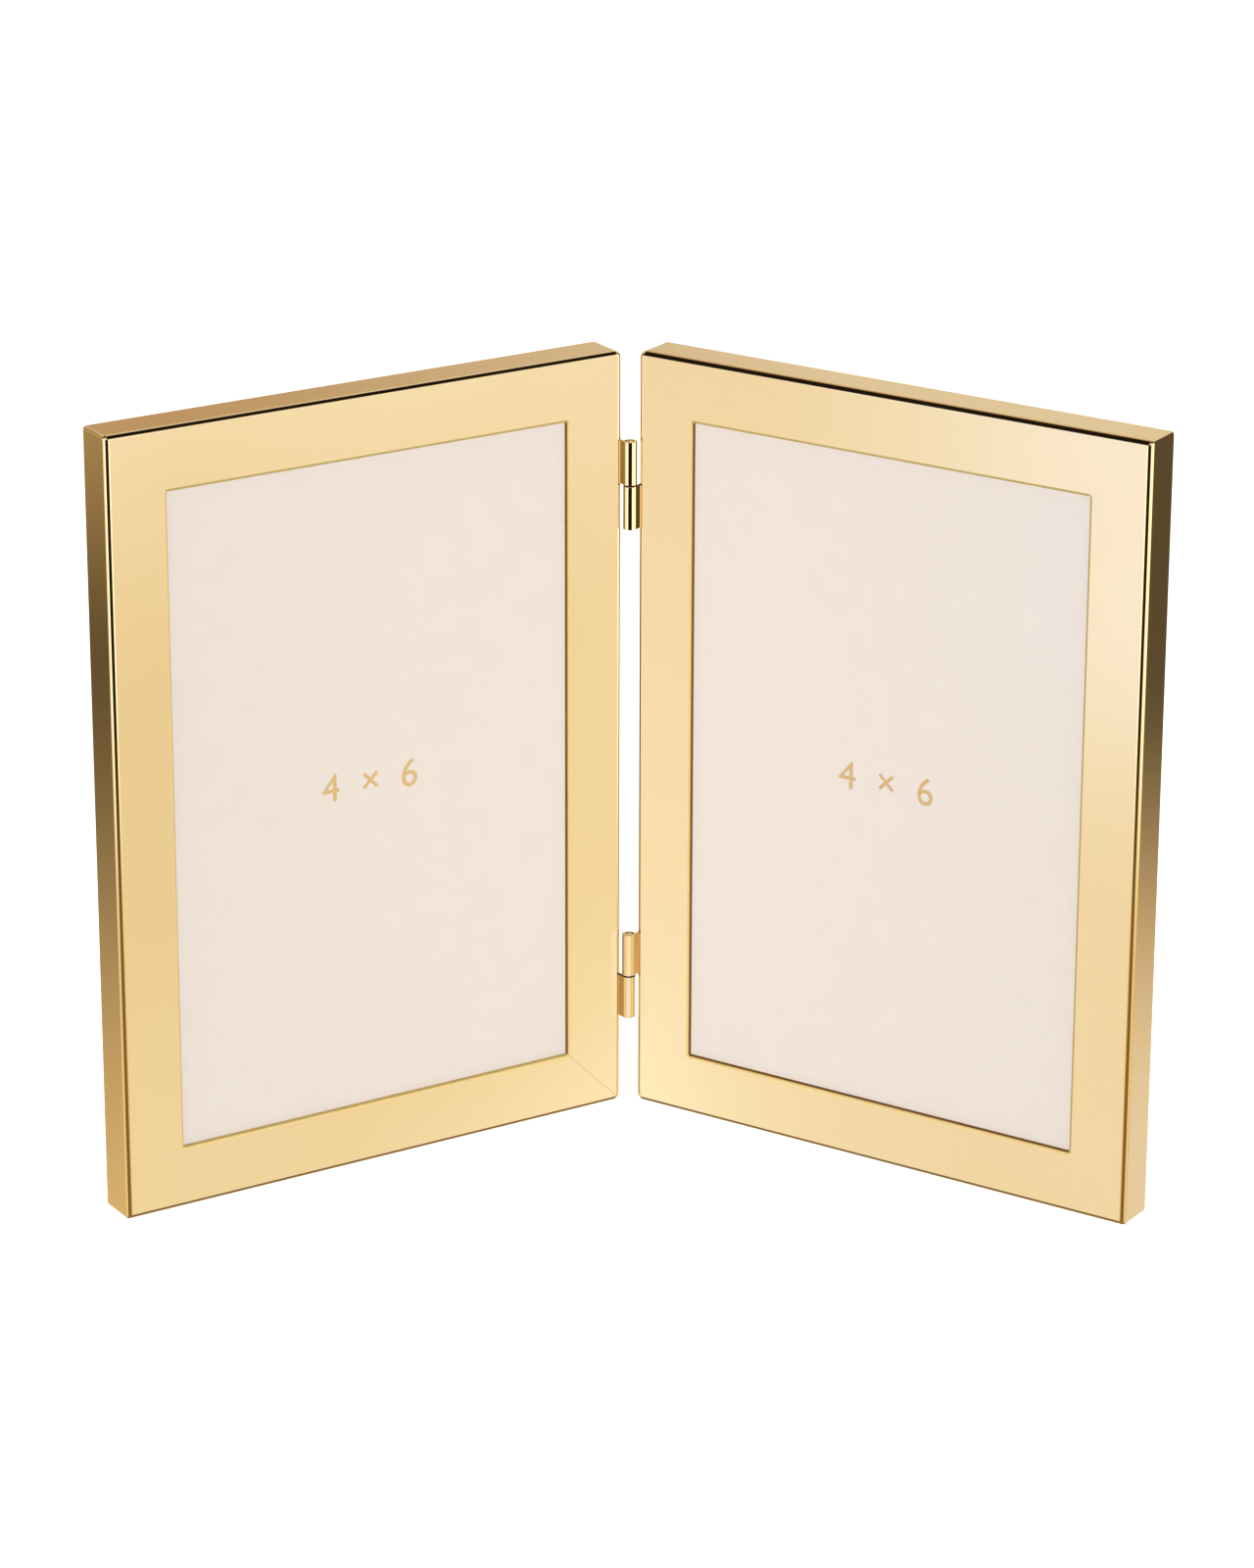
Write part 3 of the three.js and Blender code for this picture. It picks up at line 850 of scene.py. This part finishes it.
sockets = screws_tree.interface.items_tree
identifiers = {item.name: item.identifier for item in sockets if item.in_out == "INPUT"}
head_middle = SCREW_SEAT + SCREW_SIZES["Rim height"] / 2
for label, side in SIDES.items():
    spots = list(button_places(side))
    points = bpy.data.meshes.new("screw points")
    points.from_pydata([(x, head_middle, z) for _, _, x, z in spots], [], [])
    turn = points.attributes.new("turn", "FLOAT_VECTOR", "POINT")
    for index, angle in enumerate(SLOT_TURNS):
        turn.data[index].vector = (-math.pi / 2, math.radians(angle * side), 0)
    carrier = bpy.data.objects.new("screw points", points)
    modifier = carrier.modifiers.new("screws", "NODES")
    modifier.node_group = screws_tree
    for name, value in SCREW_SIZES.items():
        modifier[identifiers[name]] = value
    modifier[identifiers["Finish"]] = satin_brass
    screws = add_piece(
        f"{label}_screws", drawing_of(carrier), leaf_place(side), satin_brass, f"{label}_leaf",
        [f"{label}_{spot}_screw" for spot, _, _, _ in spots],
    )
    print(screws.name, "has", len(screws.data.polygons), "faces")

# %% [markdown]
# ## Suede skins
# Suede cloth is glued over the back board in one sheet and over the carcass in four strips that butt
# against each other. The lower strip is cut round the nail nick, where a finger lifts the board out. Each
# is a sheet of cloth.

# %% Suede skins
PRINT_WIDTH = 101.6
PRINT_HEIGHT = 152.4
POCKET_HALF_WIDTH = 51.2
POCKET_HALF_HEIGHT = 76.6
CARCASS_HALF_WIDTH = 62.3
CARCASS_HALF_HEIGHT = 87.7
NICK_RADIUS = 7.0
NICK_STEPS = 24
SUEDE_THICKNESS = 0.5
SUEDE_BACK = 8.2
SUEDE_EDGE = 0.15
BUTT_GAP = 0.06


def rectangle(left, right, low, high):
    """The corners of a rectangle, anticlockwise."""
    return [(left, low), (right, low), (right, high), (left, high)]


board_skin = rectangle(-PRINT_WIDTH / 2, PRINT_WIDTH / 2, -PRINT_HEIGHT / 2, PRINT_HEIGHT / 2)
strip_end = POCKET_HALF_WIDTH - BUTT_GAP
upper_strip = rectangle(-strip_end, strip_end, POCKET_HALF_HEIGHT, CARCASS_HALF_HEIGHT)
lower_strip = (
    rectangle(-strip_end, strip_end, -CARCASS_HALF_HEIGHT, -POCKET_HALF_HEIGHT)[:3]
    + arc((0, -POCKET_HALF_HEIGHT), NICK_RADIUS, 0, -180, NICK_STEPS)
    + [(-strip_end, -POCKET_HALF_HEIGHT)]
)
right_strip = rectangle(POCKET_HALF_WIDTH, CARCASS_HALF_WIDTH, -CARCASS_HALF_HEIGHT, CARCASS_HALF_HEIGHT)
left_strip = rectangle(-CARCASS_HALF_WIDTH, -POCKET_HALF_WIDTH, -CARCASS_HALF_HEIGHT, CARCASS_HALF_HEIGHT)
SKINS = {
    "board_skin": (board_skin, "board_suede", "back_board"),
    "upper_strip": (upper_strip, "carcass_suede", "carcass"),
    "lower_strip": (lower_strip, "carcass_suede", "carcass"),
    "right_strip": (right_strip, "carcass_suede", "carcass"),
    "left_strip": (left_strip, "carcass_suede", "carcass"),
}
for label, side in SIDES.items():
    place = leaf_place(side) @ Matrix.Translation((0, SUEDE_BACK, 0))
    for part, (outline, node, carrier) in SKINS.items():
        skin = add_piece(
            f"{label}_{part}", stamped_plate([outline], SUEDE_THICKNESS, SUEDE_EDGE), place, suede,
            f"{label}_leaf", [f"{label}_{node}"],
        )
        height = max(z for _, z in outline) - min(z for _, z in outline)

# %% [markdown]
# ## Size mark
# The middle of each card carries a mark in gold foil. Here it is the plain size of the print in inches.
# A text object gives the figures, as thin as foil, and becomes a mesh before it goes to its place on the
# card, just under the glass.

# %% Size mark
CARD_FRONT = 3.2
FOIL_THICKNESS = 0.03
FOIL_LIFT = 0.02
MARK_SIZE = 9.2
MARK_SPACING = 1.25

for label, side in SIDES.items():
    figures = bpy.data.curves.new("size mark", "FONT")
    figures.body = "4 × 6"
    figures.size = MARK_SIZE
    figures.space_character = MARK_SPACING
    figures.align_x = "CENTER"
    figures.align_y = "CENTER"
    figures.extrude = FOIL_THICKNESS / 2
    shape = drawing_of(bpy.data.objects.new("size mark", figures))
    depth = CARD_FRONT - FOIL_LIFT - FOIL_THICKNESS / 2
    place = leaf_place(side) @ Matrix.Translation((0, depth, 0)) @ Matrix.Rotation(math.pi / 2, 4, "X")
    mark = add_piece(f"{label}_size_mark", shape, place, gold_foil, f"{label}_leaf")
    print(mark.name, "has", len(mark.data.polygons), "faces")

# %% [markdown]
# ## Floor
# The frame stands on a pale, matt floor that is lit until it burns out to white, as in the photograph. A
# little light of its own keeps the shadow under the rails faint. So much light from below would fall on
# the cards too, and the gold would mirror the floor. Both take their light from the studio below instead,
# and the floor is hidden from diffuse and mirror rays.

# %% Floor
FLOOR_SIZE = 12.0  # metres
PAPER_GRAIN = 2 * MM

sweep_paper, shader, coords = start_finish("white paper sweep")
fill(shader, {
    "Roughness": 0.95,
    "Specular IOR Level": 0.0,
    "Emission Color": linear("#FFFFFF"),
    "Emission Strength": 0.7,
    "Base Color": tone(noise(coords, PAPER_GRAIN, detail=2.0), "#F3F3F1", "#FAFAF8"),
})

floor_shape = bmesh.new()
bmesh.ops.create_grid(floor_shape, x_segments=1, y_segments=1, size=FLOOR_SIZE / 2)
floor_mesh = bpy.data.meshes.new("floor")
floor_shape.to_mesh(floor_mesh)
floor_shape.free()
floor_mesh.materials.append(sweep_paper)
floor = bpy.data.objects.new("floor", floor_mesh)
floor.visible_diffuse = False
floor.visible_glossy = False
bpy.context.scene.collection.objects.link(floor)
print("floor of", FLOOR_SIZE, "m")

# %% [markdown]
# ## Studio
# Soft light falls on the paper, the card and the suede from all round, and most of it from the front and
# the back. What the gold mirrors is a studio of large cards: white cards and lamps to the left and right
# of the camera, a dark floor between them, a wall beyond the camera, walls behind the frame and a dark
# ceiling. Each card is a patch of the world, given by the directions where it starts and ends. Azimuth
# runs anticlockwise from the right (0) to the back (90), and the camera is at -90. Elevation is above the
# horizon. A smooth step at each border makes a soft edge, and where cards overlap their light adds up.

# %% Studio
ROUND_LIGHT = 0.35
FRONT_LIGHT = 1.54
ROOM = (0.012, 0.009, 0.006)
CARDS = (
    # name, azimuth from, to and softness, elevation from and softness, to and softness, light
    ("white card on the right", (-33, -19, 2), (-34, 2), (26, 2), (0.858, 0.825, 0.75)),
    ("its bright top", (-33, -19, 2), (-17.2, 1.8), (26, 2), (0.12, 0.17, 0.33)),
    ("its bright foot", (-33, -19, 2), (-34, 2), (-22.4, 1.6), (0.06, 0.08, 0.13)),
    ("glow beside the hinge", (-26.5, -19, 2), (-34, 2), (-18, 1.5), (0.10, 0.12, 0.14)),
    ("glow under the hinge", (-25.6, -19, 0.6), (-34, 2), (-22.7, 0.6), (0.06, 0.10, 0.20)),
    ("lamp on the right", (-19, 14, 2), (-20.3, 1.5), (24, 2), (1.7, 1.7, 1.7)),
    ("warm floor under that lamp", (-19, 14, 2), (-34, 2), (-20.3, 1.5), (0.80, 0.58, 0.26)),
    ("lamp beside the camera", (-58, -33, 2), (-20.3, 1.5), (24, 2), (1.6, 1.65, 1.75)),
    ("warm floor under that lamp", (-58, -33, 2), (-34, 2), (-20.3, 1.5), (0.82, 0.62, 0.32)),
    ("white card on the left", (-161, -147, 2), (-34, 2), (10, 6), (0.925, 0.925, 0.96)),
    ("lamp beyond it", (-184, -161, 2), (-20.3, 1.5), (8, 6), (1.2, 1.2, 1.2)),
    ("warm floor under that lamp", (-184, -161, 2), (-34, 2), (-20.3, 1.5), (0.80, 0.58, 0.26)),
    ("lamp on the left", (-152.6, -147, 2.2), (-19.6, 1.4), (8, 6), (0.08, 0.20, 0.62)),
    ("lamp beside the camera", (-147, -122, 2), (-20.3, 1.5), (24, 2), (1.6, 1.65, 1.75)),
    ("warm floor under that lamp", (-147, -122, 2), (-34, 2), (-20.3, 1.5), (0.82, 0.62, 0.32)),
    ("glow beside the hinge", (-161, -154.2, 1), (-34, 2), (-18.5, 3), (0.08, 0.11, 0.17)),
    ("glow under the hinge", (-161, -155.3, 0.4), (-34, 2), (-22.4, 0.8), (0.05, 0.15, 0.18)),
    ("floor in front", (-122, -58, 3), (-60, 2), (-20.3, 1), (0.20, 0.15, 0.07)),
    ("wall beyond the camera", (-122, -58, 3), (-13, 2), (70, 6), (0.80, 0.70, 0.55)),
    ("wall behind on the left", (118, 184, 3), (-40, 2), (24, 2), (0.09, 0.068, 0.04)),
    ("window on that wall", (118, 184, 3), (-17, 2), (22, 2), (0.37, 0.29, 0.17)),
    ("floor before that wall", (118, 184, 3), (-50, 2), (-21.9, 4), (0.69, 0.57, 0.38)),
    ("wall behind on the right", (14, 62, 3), (-40, 2), (24, 2), (0.092, 0.078, 0.053)),
    ("floor before that wall", (14, 62, 3), (-50, 2), (-20.8, 2.2), (0.66, 0.56, 0.44)),
    ("glow on that floor", (14, 62, 3), (-50, 2), (-22.3, 1.5), (0.07, 0.17, 0.32)),
    ("back wall", (62, 118, 4), (6, 2), (70, 2), (0.51, 0.37, 0.235)),
    ("light on the back wall", (62, 91.5, 4.5), (6, 2), (70, 2), (0.25, 0.345, 0.38)),
    ("floor before the back wall", (62, 118, 4), (-60, 2), (6, 2), (0.92, 0.90, 0.88)),
    ("lamp behind on the left", (118, 172, 4), (28, 3), (48, 4), (0.85, 0.80, 0.70)),
    ("lamp behind on the right", (14, 62, 4), (28, 3), (48, 4), (0.85, 0.80, 0.70)),
    ("lamp overhead", (-184, 184, 1), (84, 2), (94, 1), (1.0, 1.0, 1.0)),
    ("shade under the rails", (-184, 184, 1), (-94, 1), (-36, 3), (0.22, 0.17, 0.11)),
)

world = bpy.data.worlds.new("studio")
world.use_nodes = True
bpy.context.scene.world = world
tree = world.node_tree
ray = add_node(tree, "ShaderNodeTexCoord").outputs["Generated"]
direction = add_node(tree, "ShaderNodeSeparateXYZ", {0: ray}).outputs
azimuth = calculate(tree, "DEGREES", calculate(tree, "ARCTAN2", direction["Y"], direction["X"]))
elevation = calculate(tree, "DEGREES", calculate(tree, "ARCSINE", direction["Z"]))
print("studio cards:", len(CARDS))

# %% Hang the cards
light_sum = ROOM
for name, (left, right, side_soft), (low, low_soft), (high, high_soft), light in CARDS:
    share = 1.0
    for angle, border, soft, before, after in (
        (azimuth, left, side_soft, 0.0, 1.0),
        (azimuth, right, side_soft, 1.0, 0.0),
        (elevation, low, low_soft, 0.0, 1.0),
        (elevation, high, high_soft, 1.0, 0.0),
    ):
        step = add_node(tree, "ShaderNodeMapRange", {"Value": angle}, interpolation_type="SMOOTHSTEP")
        fill(step, {"From Min": border - soft, "From Max": border + soft, "To Min": before, "To Max": after})
        share = calculate(tree, "MULTIPLY", share, step.outputs["Result"])
    card = add_node(
        tree, "ShaderNodeVectorMath", {0: light, 1: share, 2: light_sum}, operation="MULTIPLY_ADD", label=name
    )
    light_sum = card.outputs["Vector"]
print("the studio has", len(tree.nodes), "nodes")

# %% [markdown]
# Only a ray that bounced off a gloss is shown the cards. Every other ray meets the soft light, which grows
# with the square of how far a direction points to the front or the back. A photographer would also keep
# the two leaves from mirroring each other, with a card held between them for one of several exposures.
# Here the leaves are left out of mirror rays, and only the hinges, which need the dark of their own
# joints, stay in.

# %% What the mirrors show
rays = add_node(tree, "ShaderNodeLightPath").outputs
mirrored = calculate(tree, "MULTIPLY", rays["Is Glossy Ray"], rays["Is Reflection Ray"])
forwards = calculate(tree, "MULTIPLY", direction["Y"], direction["Y"])
soft_light = calculate(tree, "MULTIPLY_ADD", forwards, FRONT_LIGHT, ROUND_LIGHT)
plain = add_node(tree, "ShaderNodeBackground", {"Color": linear("#FFFFFF"), "Strength": soft_light})
cards = add_node(tree, "ShaderNodeBackground", {"Color": light_sum, "Strength": 1.0})
either = add_node(tree, "ShaderNodeMixShader", {0: mirrored, 1: plain.outputs[0], 2: cards.outputs[0]})
fill(tree.nodes["World Output"], {"Surface": either.outputs[0]})

hinge_names = tuple(f"{label}_hinge" for label in HINGE_HEIGHTS)
meshes = [thing for thing in bpy.context.scene.objects if thing.type == "MESH"]
for thing in meshes:
    thing.visible_glossy = thing.name.startswith(hinge_names)
print("meshes that mirrors show:", sum(thing.visible_glossy for thing in meshes))

# %% [markdown]
# ## Card before the lower hinge
# The dark between the cards draws a dark line down every rounded edge. On the lower hinge the photograph
# shows none, because there the barrel mirrors the bright table close by. A lit card no wider than the
# barrel needs, just in front of it, does that. Only mirror rays see it.

# %% Card before the lower hinge
REFLECTOR_HALF_WIDTH = 1.5
REFLECTOR_DEPTH = 27.5
REFLECTOR_LOW = 19.5
REFLECTOR_HIGH = 40.5

lit_card, shader, _ = start_finish("lit white card")
fill(shader, {
    "Base Color": linear("#000000"),
    "Specular IOR Level": 0.0,
    "Emission Color": linear("#F6FAFF"),
    "Emission Strength": 1.1,
})
reflector_mesh = bpy.data.meshes.new("reflector")
outline = rectangle(-REFLECTOR_HALF_WIDTH, REFLECTOR_HALF_WIDTH, REFLECTOR_LOW, REFLECTOR_HIGH)
corners = [Vector((x, REFLECTOR_DEPTH, z)) * MM for x, z in outline]
reflector_mesh.from_pydata(corners, [], [(0, 1, 2, 3)])
reflector_mesh.materials.append(lit_card)
reflector = bpy.data.objects.new("reflector", reflector_mesh)
reflector.visible_camera = False
reflector.visible_diffuse = False
reflector.visible_transmission = False
reflector.visible_shadow = False
bpy.context.scene.collection.objects.link(reflector)
print("reflector of", 2 * REFLECTOR_HALF_WIDTH, "by", REFLECTOR_HIGH - REFLECTOR_LOW, "mm")
